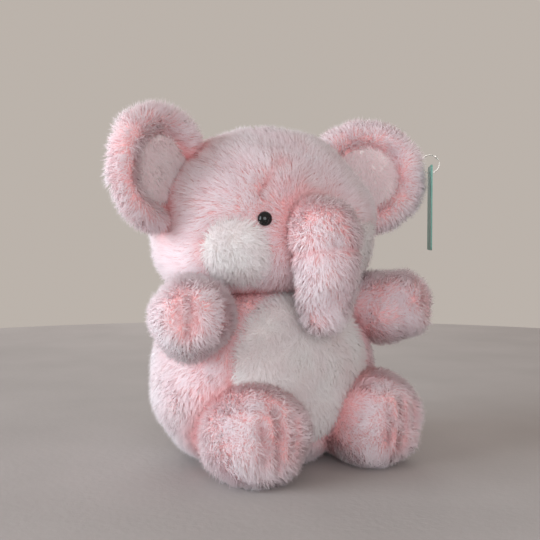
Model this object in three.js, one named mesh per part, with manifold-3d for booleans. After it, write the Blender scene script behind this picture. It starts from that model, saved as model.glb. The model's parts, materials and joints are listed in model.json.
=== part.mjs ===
// A seated stuffed elephant, about 250 mm wide across the ears, sewn from long-pile plush.
// Millimetres, +Z up, facing -Y, its left side at +X. The origin is the middle of the flat seat.
// Every plush surface is modelled at the middle of its pile.
import * as THREE from "three";
import { mergeVertices } from "three/addons/utils/BufferGeometryUtils.js";
import Module from "manifold-3d";

const wasm = await Module();
wasm.setup();

// ---- Driving dimensions ----
const plushLayer = 4; // backing cloth with its pile, as one soft layer
const seamGap = 0.35; // left between pieces that touch
const floorLevel = 0;

const torso = { centre: [0, 2, 58], radii: [77, 62, 64], power: 2.2, pear: 0.05 };
const head = { centre: [0, 7, 165.5], radii: [78, 59, 56.5], power: 2.1, pear: 0.15 };
const belly = { width: 98, top: 108, bottom: 20, widest: 66 };
const cheek = { radius: 18.5, turn: 48, height: 142 };
const eye = { radius: 4.5, x: 33, z: 161, shank: 1.5, shankLength: 9 };
const washer = { radius: 6, thickness: 1.6, drop: 2 }; // drop: how deep below the cloth it sits
const ear = { centre: [81, 0, 192.5], radius: 42, stretch: 1.07, rim: 10, turn: 26 };
const earPatch = { radius: 22, front: 3.2, thickness: 2.8 };
const armTurn = 33;
const arm = { reach: 60, rootRadius: 18.5, pawRadius: 24, pawHeight: 105 };
const leg = { tipY: -76, height: 29, rootRadius: 25, rootDepth: 12, footRadius: 32 };
const footX = { [-1]: 41, [1]: 53 }; // the right leg lies straighter than the left
const trunk = { rootRadius: 18, middleRadius: 18, tipRadius: 12.5, tip: [0, -64.5, 92] };
const neckPlug = 20;
const bowlGrowth = [3, 9, 7.5]; // how far the bowl in the shoulders stands off the head
const tail = { radius: 6, length: 34, tuftRadius: 8 };
const pelletBag = { centre: [0, 25, 15], radii: [28, 14, 11] };
const tag = { height: 61, width: 34, thickness: 1, corner: 3, hole: 1.7, holeDrop: 5 };
const tagHole = [122.2, -23.1, 196];
const tagTurn = 52; // the card's width runs this many degrees round from +X
const loop = { radius: 6.6, wire: 0.5 };
const label = { width: 20, length: 27, thickness: 0.6, x: 30, y: 60.5, top: 43 };

// ---- Hinges: where each sewn joint bends, about which axis, and how far in degrees ----
const left = 1;
const right = -1;
const neckPivot = [0, 6, 116];
const nodHinge = { at: neckPivot, axis: [1, 0, 0], range: [-12, 2] };
const turnHinge = { at: neckPivot, axis: [0, 0, 1], range: [-12, 12] };
const trunkHinge = { at: [0, -50, 158], axis: [-1, 0, 0], range: [0, 65] };
const tailHinge = { at: [0, 68, 42], axis: [0, 0, 1], range: [-25, 25] };
const earHinge = (side) => ({ at: [side * 60, 7, 190], axis: [0, 0, side], range: [-22, 22] });
const legHinge = (side) => ({ at: [side * 38, -8, leg.height], axis: [-1, 0, 0], range: [0, 14] });
const armHinge = (side) => ({
  at: [side * 58, -6, 99],
  axis: [-Math.cos(radians(armTurn)), -side * Math.sin(radians(armTurn)), 0],
  range: [-9, 14],
});

function radians(degrees) {
  return (degrees * Math.PI) / 180;
}

// ---- Materials ----
function finish(colour, roughness = 0.95) {
  return new THREE.MeshStandardMaterial({ color: colour, roughness, metalness: 0 });
}
const pinkPlush = finish(0xe6c6cb);
const whitePlush = finish(0xe4dedc);
const fibreFill = finish(0xf4f2ee);
const cottonBag = finish(0xe9e2d2);
const satin = finish(0xf2f0ec, 0.5);
const eyeGloss = finish(0x0a0909, 0.12);
const clearNylon = finish(0xdad6cf, 0.35);
const washerPlastic = finish(0xe8e6e0, 0.45);
const tealCard = finish(0x4b8478, 0.6);

// ---- Solids ----
function solid(geometry) {
  geometry.deleteAttribute("normal");
  geometry.deleteAttribute("uv");
  const shared = mergeVertices(geometry);
  const vertProperties = new Float32Array(shared.attributes.position.array);
  const triVerts = new Uint32Array(shared.index.array);
  return new wasm.Manifold(new wasm.Mesh({ numProp: 3, vertProperties, triVerts }));
}

function piece(name, body, material) {
  const { vertProperties, triVerts } = body.getMesh();
  const geometry = new THREE.BufferGeometry();
  geometry.setAttribute("position", new THREE.BufferAttribute(vertProperties, 3));
  geometry.setIndex(new THREE.BufferAttribute(triVerts, 1));
  geometry.computeVertexNormals();
  const mesh = new THREE.Mesh(geometry, material);
  mesh.name = name;
  return mesh;
}

// The union of a form at several angles of a hinge: the room that it needs to move.
// With back = true it is the room of the piece that stays, seen from the piece that moves.
function swept(form, hinge, { back = false, stops = hinge.range } = {}) {
  const axis = new THREE.Vector3(...hinge.axis).normalize();
  const moved = stops.filter((degrees) => degrees !== 0);
  const copies = moved.map((degrees) =>
    solid(turned(form, hinge.at, axis, back ? -degrees : degrees)),
  );
  return wasm.Manifold.union([solid(form.clone()), ...copies]);
}

function turned(form, at, axis, degrees) {
  const geometry = form.clone().translate(-at[0], -at[1], -at[2]);
  geometry.applyMatrix4(new THREE.Matrix4().makeRotationAxis(axis, radians(degrees)));
  return geometry.translate(...at);
}

// ---- Forms: each takes how far its surface is moved out (or in, when negative) ----

// A stuffed round, squarer than a ball when power is over 2, and wider below with a pear value.
function round({ centre, radii, power = 2, pear = 0 }, grow = 0, detail = 4) {
  const geometry = new THREE.IcosahedronGeometry(1, detail);
  const point = new THREE.Vector3();
  const position = geometry.attributes.position;
  for (let i = 0; i < position.count; i++) {
    point.fromBufferAttribute(position, i);
    const sum = point.toArray().reduce((total, v) => total + Math.abs(v) ** power, 0);
    point.multiplyScalar(sum ** (-1 / power));
    const widen = 1 - pear * point.z;
    point.set(point.x * widen, point.y * widen, point.z);
    const moved = point.toArray().map((v, axis) => v * (radii[axis] + grow) + centre[axis]);
    position.setXYZ(i, ...moved);
  }
  return geometry;
}

const fineMesh = { around: 14, along: 10 };
const longMesh = { around: 14, along: 14 };
const roomMesh = { around: 9, along: 7 };

// A stuffed tube along a path. radiusAt gives its radius from 0 to 1 along the path, and its
// ends are round, or flatter when bluntness is higher.
function stuffedTube(path, radiusAt, { grow = 0, mesh = fineMesh, bluntness = 3 }) {
  const geometry = new THREE.SphereGeometry(1, mesh.around, mesh.along);
  const position = geometry.attributes.position;
  const curve = new THREE.CatmullRomCurve3(path.map((p) => new THREE.Vector3(...p)));
  const side = new THREE.Vector3();
  const up = new THREE.Vector3();
  for (let i = 0; i < position.count; i++) {
    const endToEnd = -position.getY(i);
    const t = (1 + endToEnd) / 2;
    const reach = Math.max(0, 1 - Math.abs(endToEnd) ** bluntness) ** (1 / bluntness);
    const bearing = Math.atan2(position.getZ(i), position.getX(i));
    const radius = (radiusAt(t) + grow) * reach;
    const point = curve.getPointAt(t);
    const tangent = curve.getTangentAt(t);
    side.set(1, 0, 0).addScaledVector(tangent, -tangent.x).normalize();
    up.crossVectors(tangent, side);
    point.addScaledVector(tangent, endToEnd * grow);
    point.addScaledVector(side, Math.cos(bearing) * radius);
    point.addScaledVector(up, Math.sin(bearing) * radius);
    position.setXYZ(i, point.x, point.y, point.z);
  }
  return geometry;
}

function armForm(side, grow = 0, mesh = fineMesh) {
  const [x, y, z] = armHinge(side).at;
  const out = side * Math.sin(radians(armTurn));
  const forward = -Math.cos(radians(armTurn));
  const at = (distance, height) => [x + out * distance, y + forward * distance, height];
  const path = [at(-arm.rootRadius, z), at(arm.reach * 0.4, z + 2), at(arm.reach, arm.pawHeight)];
  const swell = (t) => arm.rootRadius + (arm.pawRadius - arm.rootRadius) * Math.min(1, t * 1.5);
  return stuffedTube(path, swell, { grow, mesh });
}

function legForm(side, grow = 0, mesh = fineMesh) {
  const [x, y, z] = legHinge(side).at;
  const tipX = side * footX[side];
  const middle = [(x + 2 * tipX) / 3, (y + leg.tipY) / 2, z];
  const path = [[x, y + leg.rootDepth, z], middle, [tipX, leg.tipY, z]];
  const swell = (t) => leg.rootRadius + (leg.footRadius - leg.rootRadius) * Math.min(1, t * 1.7);
  return stuffedTube(path, swell, { grow, mesh, bluntness: 2.8 });
}

function trunkForm(grow = 0, mesh = longMesh) {
  const { rootRadius, middleRadius, tipRadius, tip } = trunk;
  const path = [[0, -34, 159], [0, -55, 157], [0, -64, 142], [0, -64, 116], tip];
  const widen = (t) => (middleRadius - rootRadius) * THREE.MathUtils.smoothstep(t, 0, 0.3);
  const taper = (t) => (middleRadius - tipRadius) * THREE.MathUtils.smoothstep(t, 0.55, 1);
  const radiusAt = (t) => rootRadius + widen(t) - taper(t);
  return stuffedTube(path, radiusAt, { grow, mesh, bluntness: 4 });
}

function tailForm(grow = 0) {
  const [x, y, z] = tailHinge.at;
  const path = [[x, y - 8, z + 1], [x, y + tail.length / 2, z], [x, y + tail.length, z - 16]];
  return stuffedTube(path, () => tail.radius, { grow, mesh: roomMesh, bluntness: 4 });
}

// An ear is a dish, turned on its axis: a fat rim ring round a thinner web. Profiles run from
// the axis at the back, round the rim, to the edge of the front patch.
function earOutline(grow) {
  const ringRadius = ear.radius - ear.rim;
  const tube = ear.rim + grow;
  const points = [new THREE.Vector2(0, tube - 2)];
  for (let degrees = 80; degrees >= -130; degrees -= 42) {
    const angle = radians(degrees);
    points.push(new THREE.Vector2(ringRadius + tube * Math.cos(angle), tube * Math.sin(angle)));
  }
  points.push(new THREE.Vector2(earPatch.radius, -earPatch.front - grow));
  return points;
}

function inEarPlace(geometry, side) {
  geometry.scale(ear.stretch, 1, 1);
  geometry.rotateZ(radians(side * -ear.turn));
  return geometry.translate(side * ear.centre[0], ear.centre[1], ear.centre[2]);
}

const earSegments = 20;
const earTurned = (profile, side) =>
  inEarPlace(new THREE.LatheGeometry(profile.reverse(), earSegments), side);
const toAxis = (profile) => [...profile, new THREE.Vector2(0, profile.at(-1).y)];

// A box that holds everything below the surface that the toy sits on.
function belowFloor() {
  const size = 400;
  return solid(new THREE.BoxGeometry(size, size, size).translate(0, 0, floorLevel - size / 2));
}

// ---- The room that moving pieces need ----
const shoulderRoom = 38;
const clearance = 2.6; // enough for the flats of the coarse forms that these are cut with
const armRoom = (side) => swept(armForm(side, clearance / 2), armHinge(side));
const legRoom = (side) => swept(legForm(side, clearance, roomMesh), legHinge(side));
const headForm = round(head, clearance, 3);
const plugBall = (grow) => round({ centre: neckPivot, radii: Array(3).fill(neckPlug) }, grow, 2);

// The bowl in the shoulders that the head nods and turns in.
const headBowl = round({ ...head, radii: head.radii.map((r, axis) => r + bowlGrowth[axis]) }, 0, 4);

const group = new THREE.Group();
function add(name, body, material) {
  group.add(piece(name, body, material));
}

// ---- Torso: pink skin with a white belly panel, loose fibre and a bag of pellets ----
function bellyPrism(inset = 0) {
  const { width, top, bottom, widest } = belly;
  const halfWidth = width / 2 - inset;
  const shape = new THREE.Shape();
  shape.absellipse(0, widest, halfWidth, top - widest - inset, 0, Math.PI);
  shape.absellipse(0, widest, halfWidth, widest - bottom - inset, Math.PI, 2 * Math.PI);
  const depth = 90;
  const prism = new THREE.ExtrudeGeometry(shape, { depth, bevelEnabled: false, curveSegments: 10 });
  return solid(prism.rotateX(Math.PI / 2));
}

const sides = [left, right];
const legRooms = wasm.Manifold.union(sides.map(legRoom));
const torsoRoom = wasm.Manifold.union([
  ...sides.map(armRoom),
  legRooms,
  solid(headBowl),
  swept(tailForm(clearance), tailHinge),
  solid(plugBall(3 * seamGap)),
  belowFloor(),
]);
const torsoShell = solid(round(torso)).subtract(solid(round(torso, -plushLayer)));
const seatSkin = solid(round(torso)).intersect(
  solid(new THREE.BoxGeometry(200, 200, plushLayer).translate(0, 0, plushLayer / 2)),
);
const torsoCloth = torsoShell.add(seatSkin).subtract(torsoRoom);
add("torso_skin", torsoCloth.subtract(bellyPrism()), pinkPlush);
add("belly_panel", torsoCloth.intersect(bellyPrism(seamGap)), whitePlush);

const aboveSeat = solid(
  new THREE.BoxGeometry(300, 300, 300).translate(0, 0, plushLayer + seamGap + 150),
);
const bag = (grow) => solid(round(pelletBag, grow, 2)).intersect(aboveSeat);
add("pellet_bag", bag(0), cottonBag);
// Inside, a ball of space at each arm and a flat top under the neck are room enough.
const shoulderBall = (side) =>
  solid(round({ centre: armHinge(side).at, radii: Array(3).fill(shoulderRoom) }, 0, 2));
const fillTop = solid(
  new THREE.BoxGeometry(300, 300, 100).translate(0, 0, neckPivot[2] - neckPlug - 50 - seamGap),
);
const torsoFill = solid(round(torso, -plushLayer - seamGap)).intersect(aboveSeat).intersect(fillTop);
const fillRoom = wasm.Manifold.union([...sides.map(shoulderBall), legRooms, bag(seamGap)]);
add("torso_stuffing", torsoFill.subtract(fillRoom), fibreFill);

const labelTurn = 17;
const labelBox = new THREE.BoxGeometry(label.width, label.thickness, label.length);
labelBox.rotateZ(radians(-labelTurn)).translate(label.x, label.y, label.top - label.length / 2);
add("care_label", solid(labelBox), satin);

// ---- Neck: the plug of fibre that joins the two stuffings ----
add("neck_stuffing", solid(plugBall(0)), fibreFill);

// ---- Head: pink skin with two white cheek patches, on its own fibre ----
function cheekPrism(side, inset = 0) {
  const reach = 90;
  const rod = new THREE.CylinderGeometry(cheek.radius - inset, cheek.radius - inset, reach, 18);
  rod.translate(0, -reach / 2, 0).rotateZ(radians(side * cheek.turn));
  return solid(rod.translate(0, head.centre[1], cheek.height));
}

// The point of the face at a given x and z, and the direction that it faces.
function faceAt(x, z) {
  const { centre, radii, power, pear } = head;
  const widen = 1 - (pear * (z - centre[2])) / radii[2];
  const across = Math.abs(x / (radii[0] * widen)) ** power;
  const upward = Math.abs((z - centre[2]) / radii[2]) ** power;
  const forward = radii[1] * widen * (1 - across - upward) ** (1 / power);
  const slope = (v, radius) => (Math.sign(v) * Math.abs(v) ** (power - 1)) / radius ** power;
  const parts = [slope(x, radii[0]), slope(-forward, radii[1]), slope(z - centre[2], radii[2])];
  const facing = new THREE.Vector3(...parts).normalize();
  return { point: new THREE.Vector3(x, centre[1] - forward, z), facing };
}

// A turned piece that stands on the face: its profile's +Y points out of the face.
function onFace(profile, side, segments) {
  const { point, facing } = faceAt(side * eye.x, eye.z);
  const outward = new THREE.Quaternion().setFromUnitVectors(new THREE.Vector3(0, 1, 0), facing);
  const geometry = new THREE.LatheGeometry(profile, segments).applyQuaternion(outward);
  return solid(geometry.translate(...point.toArray()));
}

// A safety eye: a domed button moulded in one with a shank that goes through the cloth.
function eyeProfile(grow = 0) {
  const { radius, shank, shankLength } = eye;
  const points = [new THREE.Vector2(0, -shankLength - grow)];
  points.push(new THREE.Vector2(shank + grow, -shankLength - grow));
  points.push(new THREE.Vector2(shank + grow, seamGap - grow));
  for (let degrees = 0; degrees < 90; degrees += 18) {
    const angle = radians(degrees);
    const across = (radius + grow) * Math.cos(angle);
    points.push(new THREE.Vector2(across, seamGap - grow + (radius * 0.8 + grow) * Math.sin(angle)));
  }
  points.push(new THREE.Vector2(0, seamGap + radius * 0.8));
  return points;
}

function washerProfile(grow = 0) {
  const top = -plushLayer - washer.drop + grow;
  const bottom = top - washer.thickness - 2 * grow;
  const inner = eye.shank + seamGap - grow;
  const outer = washer.radius + grow;
  const corners = [[inner, bottom], [outer, bottom], [outer, top], [inner, top], [inner, bottom]];
  return corners.map(([across, along]) => new THREE.Vector2(across, along));
}

const trunkRoom = swept(trunkForm(clearance / 2), trunkHinge, { stops: [20, 42, 65] });
const eyes = sides.map((side) => onFace(eyeProfile(seamGap), side, 10));
const headRoomInside = wasm.Manifold.union([trunkRoom, solid(plugBall(3 * seamGap)), ...eyes]);
const headCloth = solid(round(head))
  .subtract(solid(round(head, -plushLayer)))
  .subtract(headRoomInside);
const cheekHoles = wasm.Manifold.union(sides.map((side) => cheekPrism(side)));
add("head_skin", headCloth.subtract(cheekHoles), pinkPlush);
const washerRooms = sides.map((side) => onFace(washerProfile(seamGap), side, 10));
const headFill = solid(round(head, -plushLayer - seamGap)).subtract(headRoomInside);
add("head_stuffing", headFill.subtract(wasm.Manifold.union(washerRooms)), fibreFill);

for (const side of sides) {
  const name = side === left ? "left" : "right";
  add(`cheek_patch_${name}`, headCloth.intersect(cheekPrism(side, seamGap)), whitePlush);
  add(`eye_${name}`, onFace(eyeProfile(), side, 10), eyeGloss);
  add(`eye_washer_${name}`, onFace(washerProfile(), side, 10), washerPlastic);
}

// ---- Trunk, arms and legs: tubes of plush, open where they are sewn on, full of fibre ----
function stuffedLimb(name, form, rootCentre, openingRadius) {
  const opening = solid(round({ centre: rootCentre, radii: Array(3).fill(openingRadius) }, 0, 2));
  const cloth = solid(form(0)).subtract(solid(form(-plushLayer)));
  add(`${name}_skin`, cloth.subtract(opening).subtract(belowFloor()), pinkPlush);
  const fill = solid(form(-plushLayer - 4 * seamGap));
  add(`${name}_stuffing`, fill.subtract(belowFloor()), fibreFill);
}

stuffedLimb("trunk", trunkForm, [0, -31, 159], 11);

// ---- The sides: arm, leg and ear of each ----
for (const side of sides) {
  const name = side === left ? "left" : "right";
  const [armX, armY, armZ] = armHinge(side).at;
  const armIn = arm.rootRadius + 2;
  const armRoot = [
    armX - side * armIn * Math.sin(radians(armTurn)),
    armY + armIn * Math.cos(radians(armTurn)),
    armZ,
  ];
  stuffedLimb(`arm_${name}`, (grow) => armForm(side, grow), armRoot, 12);
  const [legX, legY, legZ] = legHinge(side).at;
  const legRoot = [legX, legY + leg.rootDepth + 2, legZ];
  stuffedLimb(`leg_${name}`, (grow) => legForm(side, grow), legRoot, 15);

  const skinProfile = [...earOutline(0), ...earOutline(-plushLayer).reverse()];
  const fillProfile = toAxis(earOutline(-plushLayer - seamGap));
  const besideHead = swept(headForm, earHinge(side), { back: true });
  const skin = solid(earTurned(skinProfile, side)).subtract(besideHead);
  const pierced = side === left ? skin.subtract(loopRing(seamGap)) : skin;
  add(`ear_${name}_skin`, pierced, pinkPlush);
  add(`ear_${name}_padding`, solid(earTurned(fillProfile, side)).subtract(besideHead), fibreFill);
  add(`ear_${name}_patch`, patchDisc(side).subtract(besideHead), whitePlush);
}

function patchDisc(side) {
  const radius = earPatch.radius - seamGap;
  const disc = new THREE.CylinderGeometry(radius, radius, earPatch.thickness, earSegments);
  disc.translate(0, earPatch.thickness / 2 - earPatch.front, 0);
  return solid(inEarPlace(disc, side));
}

// ---- Tail: a small tube of plush with a tuft ----
const tuftCentre = [0, tailHinge.at[1] + tail.length, tailHinge.at[2] - 16];
const tuft = solid(round({ centre: tuftCentre, radii: Array(3).fill(tail.tuftRadius) }, 0, 1));
add("tail_skin", solid(tailForm()), pinkPlush);
add("tail_tuft", tuft.subtract(solid(tailForm(seamGap))), pinkPlush);

// ---- Hang tag: a card on a nylon loop through the rim of the left ear ----
function inTagPlace(geometry) {
  const across = new THREE.Vector3(Math.cos(radians(tagTurn)), Math.sin(radians(tagTurn)), 0);
  const upward = new THREE.Vector3(0, 0, 1);
  const outward = new THREE.Vector3().crossVectors(across, upward);
  geometry.applyMatrix4(new THREE.Matrix4().makeBasis(across, upward, outward));
  return geometry.translate(...tagHole);
}

function loopRing(grow = 0) {
  const ring = new THREE.TorusGeometry(loop.radius, loop.wire + grow, 5, 14);
  return solid(inTagPlace(ring.rotateY(Math.PI / 2).translate(0, loop.radius, 0)));
}

function tagCard() {
  const { width, height, thickness, corner, hole, holeDrop } = tag;
  const top = holeDrop;
  const bottom = holeDrop - height;
  const half = width / 2;
  const shape = new THREE.Shape();
  shape.absarc(half - corner, top - corner, corner, 0, Math.PI / 2);
  shape.absarc(corner - half, top - corner, corner, Math.PI / 2, Math.PI);
  shape.absarc(corner - half, bottom + corner, corner, Math.PI, Math.PI * 1.5);
  shape.absarc(half - corner, bottom + corner, corner, Math.PI * 1.5, Math.PI * 2);
  shape.holes.push(new THREE.Path().absarc(0, 0, hole, 0, Math.PI * 2, true));
  const options = { depth: thickness, bevelEnabled: false, curveSegments: 3 };
  const card = new THREE.ExtrudeGeometry(shape, options).translate(0, 0, -thickness / 2);
  return solid(inTagPlace(card));
}

add("tag_loop", loopRing(), clearNylon);
add("hang_tag", tagCard(), tealCard);

export default group;
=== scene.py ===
import json
import math

import bmesh
import bpy
import numpy as np
from mathutils.bvhtree import BVHTree
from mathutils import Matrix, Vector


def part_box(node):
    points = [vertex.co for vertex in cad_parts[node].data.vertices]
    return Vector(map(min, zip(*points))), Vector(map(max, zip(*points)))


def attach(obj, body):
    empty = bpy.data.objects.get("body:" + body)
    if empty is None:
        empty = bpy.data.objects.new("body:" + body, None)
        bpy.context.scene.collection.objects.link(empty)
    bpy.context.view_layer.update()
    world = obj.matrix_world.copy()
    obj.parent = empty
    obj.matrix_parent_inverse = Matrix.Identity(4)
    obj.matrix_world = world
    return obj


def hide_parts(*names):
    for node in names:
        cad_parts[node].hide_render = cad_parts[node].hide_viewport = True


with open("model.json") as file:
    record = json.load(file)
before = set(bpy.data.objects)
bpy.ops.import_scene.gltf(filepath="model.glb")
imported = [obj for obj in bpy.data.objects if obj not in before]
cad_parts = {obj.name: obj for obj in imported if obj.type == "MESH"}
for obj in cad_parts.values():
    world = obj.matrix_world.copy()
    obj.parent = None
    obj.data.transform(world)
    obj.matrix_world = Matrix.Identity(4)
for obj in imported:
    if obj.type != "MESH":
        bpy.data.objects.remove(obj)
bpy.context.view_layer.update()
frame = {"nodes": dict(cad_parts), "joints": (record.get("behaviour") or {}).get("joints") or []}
scene = bpy.context.scene


# ---- The studio: camera, lights and table ----
# A camera level with the toy's eyes, to its right, and a large soft window light from behind
# its right shoulder. The table is round, pale and plain.
camera = bpy.data.objects.new("camera", bpy.data.cameras.new("camera"))
camera.data.lens = 56
camera.data.sensor_width = 36
camera.location = (-0.2991, -0.4853, 0.151)
camera.rotation_euler = (math.radians(90 - 2.39), 0, math.radians(-31.6))
scene.collection.objects.link(camera)
scene.camera = camera
scene.view_settings.view_transform = "Standard"


def soft_light(name, place, aim, size, power, colour):
    """A round diffuser that faces the point that it is aimed at."""
    lamp = bpy.data.lights.new(name, "AREA")
    lamp.shape = "DISK"
    lamp.size = size
    lamp.energy = power
    lamp.color = colour
    light = bpy.data.objects.new(name, lamp)
    light.location = place
    facing = np.array(place) - np.array(aim)
    light.rotation_euler = (
        math.atan2(math.hypot(facing[0], facing[1]), facing[2]),
        0,
        math.atan2(facing[0], -facing[1]),
    )
    scene.collection.objects.link(light)


toy_middle = (0, 0, 0.12)
soft_light("window", (-3.0, 0.515, 0.64), toy_middle, 2.6, 139, (0.85, 0.95, 1.0))
soft_light("front_fill", (-0.55, -1.3, 0.28), toy_middle, 1.0, 12.5, (0.94, 0.96, 1.0))
soft_light("rear_glow", (0.55, 1.1, 0.6), toy_middle, 0.8, 3, (1.0, 0.96, 0.94))

world = bpy.data.worlds.new("room")
scene.world = world
world.use_nodes = True
world.node_tree.nodes["Background"].inputs["Color"].default_value = (0.86, 0.775, 0.70, 1)
world.node_tree.nodes["Background"].inputs["Strength"].default_value = 0.58


def node_material(name):
    """A new procedural material, with its node tree and its surface shader."""
    material = bpy.data.materials.new(name)
    material.use_nodes = True
    tree = material.node_tree
    shader = tree.nodes["Principled BSDF"]
    return material, tree, shader


def mixed(tree, factor, first, second, how="MIX"):
    """A colour mix. Each input is a socket, or a plain value."""
    mix = tree.nodes.new("ShaderNodeMix")
    mix.data_type = "RGBA"
    mix.blend_type = how
    for socket, value in ((0, factor), (6, first), (7, second)):
        if isinstance(value, bpy.types.NodeSocket):
            tree.links.new(value, mix.inputs[socket])
        else:
            mix.inputs[socket].default_value = value
    return mix.outputs[2]


def noise(tree, scale, detail=3.0):
    """Noise fixed to the piece, with scale in features a metre."""
    place = tree.nodes.new("ShaderNodeTexCoord")
    texture = tree.nodes.new("ShaderNodeTexNoise")
    texture.inputs["Scale"].default_value = scale
    texture.inputs["Detail"].default_value = detail
    tree.links.new(place.outputs["Object"], texture.inputs["Vector"])
    return texture.outputs["Fac"]


def ramp(tree, value, stops):
    """A colour ramp over value, with stops of (position, colour)."""
    node = tree.nodes.new("ShaderNodeValToRGB")
    while len(node.color_ramp.elements) < len(stops):
        node.color_ramp.elements.new(0.5)
    for element, (position, colour) in zip(node.color_ramp.elements, stops):
        element.position = position
        element.color = (*colour, 1)
    tree.links.new(value, node.inputs["Fac"])
    return node.outputs["Color"]


def roughened(tree, shader, height, distance):
    """Fine relief on a shader from a height socket."""
    bump = tree.nodes.new("ShaderNodeBump")
    bump.inputs["Distance"].default_value = distance
    tree.links.new(height, bump.inputs["Height"])
    tree.links.new(bump.outputs["Normal"], shader.inputs["Normal"])


table_paint, tree, shader = node_material("pale_table")
shader.inputs["Roughness"].default_value = 0.7
shader.inputs["Specular IOR Level"].default_value = 0.12
grain = noise(tree, 9, 5.0)
tone = ramp(tree, grain, [(0.3, (0.38, 0.352, 0.347)), (0.7, (0.42, 0.390, 0.385))])
tree.links.new(tone, shader.inputs["Base Color"])
roughened(tree, shader, noise(tree, 220), 0.0002)

bpy.ops.mesh.primitive_circle_add(vertices=160, radius=0.9, fill_type="NGON")
table = bpy.context.object
table.name = "table"
table.data.materials.append(table_paint)


# ---- The body: a pear of pink plush, sewn from panels and stuffed ----
# Knitted backing cloth with a long acrylic pile. The cloth is a closed pear with a sewn seam
# down the back. The pile is fibres that are rooted in the cloth and lie down and outwards.
MM = 0.001
PLUSH = 4.4  # the whole plush, from the filling up to the middle of the pile
CLOTH = 2.2  # from the cloth's face up to the middle of the pile


def hinge_place(name):
    """The middle of a sewn joint."""
    joint = next(j for j in frame["joints"] if j["name"] == name)
    return np.array(joint["pos_m"]) / MM


def node_box(name):
    """A CAD piece's lowest and highest corners at rest."""
    low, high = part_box(name)
    return np.array(low) / MM, np.array(high) / MM


def ball_mesh(fineness):
    """Directions spread evenly over a ball, and the triangles that join them."""
    builder = bmesh.new()
    bmesh.ops.create_icosphere(builder, subdivisions=fineness, radius=1)
    directions = np.array([vertex.co for vertex in builder.verts])
    faces = np.array([[vertex.index for vertex in face.verts] for face in builder.faces])
    builder.free()
    return directions, faces


def round_points(form, directions, grow=0.0):
    """Points of a stuffed round: squarer than a ball with power over 2, wide below with pear."""
    unit = directions * (np.abs(directions) ** form["power"]).sum(1)[:, None] ** (-1 / form["power"])
    unit[:, :2] *= (1 - form["pear"] * unit[:, 2])[:, None]
    return unit * (form["radii"] + grow) + form["centre"]


def depth_in_round(form, points):
    """How deep points are inside a stuffed round. It is negative outside."""
    offset = points - form["centre"]
    unit = offset / form["radii"]
    unit[:, :2] /= (1 - form["pear"] * np.clip(unit[:, 2], -1, 1))[:, None]
    share = (np.abs(unit) ** form["power"]).sum(1) ** (1 / form["power"])
    return np.linalg.norm(offset, axis=1) * (1 / np.maximum(share, 0.05) - 1)


def depth_in_nodes(points, names):
    """How deep points are inside the plush that is round any of these fillings."""
    deepest = np.full(len(points), -50.0)
    for name in names:
        node = frame["nodes"][name]
        filling = BVHTree.FromPolygons(
            [vertex.co for vertex in node.data.vertices],
            [tuple(face.vertices) for face in node.data.polygons],
        )
        for number, point in enumerate(points * MM):
            nearest, facing, _, away = filling.find_nearest(point, 0.03)
            if nearest is not None:
                outside = (point - nearest) @ facing > 0
                depth = PLUSH + (-away if outside else away) / MM
                deepest[number] = max(deepest[number], depth)
    return deepest


def join_parts_and_shade(depth):
    """How far the pile parts near a join at depth 0, showing its roots, with a wider band of painted shade
    round the join.
    """
    return 0.75 * np.exp(-((depth / 5) ** 2)) + 0.3 * np.exp(-((depth / 13) ** 2))


def soft_noise(points, wavelength, seed):
    """Smooth noise over space, three values a point, mostly from -1 to 1."""
    random = np.random.default_rng(seed)
    total = np.zeros_like(points)
    for _ in range(5):
        directions = random.normal(size=(3, 3))
        directions /= np.linalg.norm(directions, axis=0)
        pitch = 2 * np.pi / (wavelength * random.uniform(0.6, 1.5, 3))
        total += np.sin(points @ directions * pitch + random.uniform(0, 6.28, 3))
    return total / 2.2


def normals_of(points, faces):
    """The direction that the cloth faces at each of its points."""
    corners = points[faces]
    across = np.cross(corners[:, 1] - corners[:, 0], corners[:, 2] - corners[:, 0])
    total = np.zeros_like(points)
    for corner in range(3):
        np.add.at(total, faces[:, corner], across)
    return total / np.maximum(np.linalg.norm(total, axis=1), 1e-9)[:, None]


def crease(points, normals, distance, depth, width):
    """Cloth pulled in along a line: distance is each point's distance from that line."""
    pull = np.exp(-((distance / width) ** 2))
    return points - normals * (depth * pull)[:, None], pull


def mesh_piece(name, points, faces, material):
    """A piece from triangles in millimetres, shaded smooth."""
    mesh = bpy.data.meshes.new(name)
    mesh.vertices.add(len(points))
    mesh.vertices.foreach_set("co", (points * MM).astype(np.float32).ravel())
    mesh.loops.add(faces.size)
    mesh.loops.foreach_set("vertex_index", faces.astype(np.int32).ravel())
    mesh.polygons.add(len(faces))
    mesh.polygons.foreach_set("loop_start", np.arange(0, faces.size, 3, dtype=np.int32))
    mesh.update(calc_edges=True)
    mesh.polygons.foreach_set("use_smooth", np.ones(len(faces), dtype=bool))
    mesh.materials.append(material)
    made = bpy.data.objects.new(name, mesh)
    scene.collection.objects.link(made)
    return made


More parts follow.
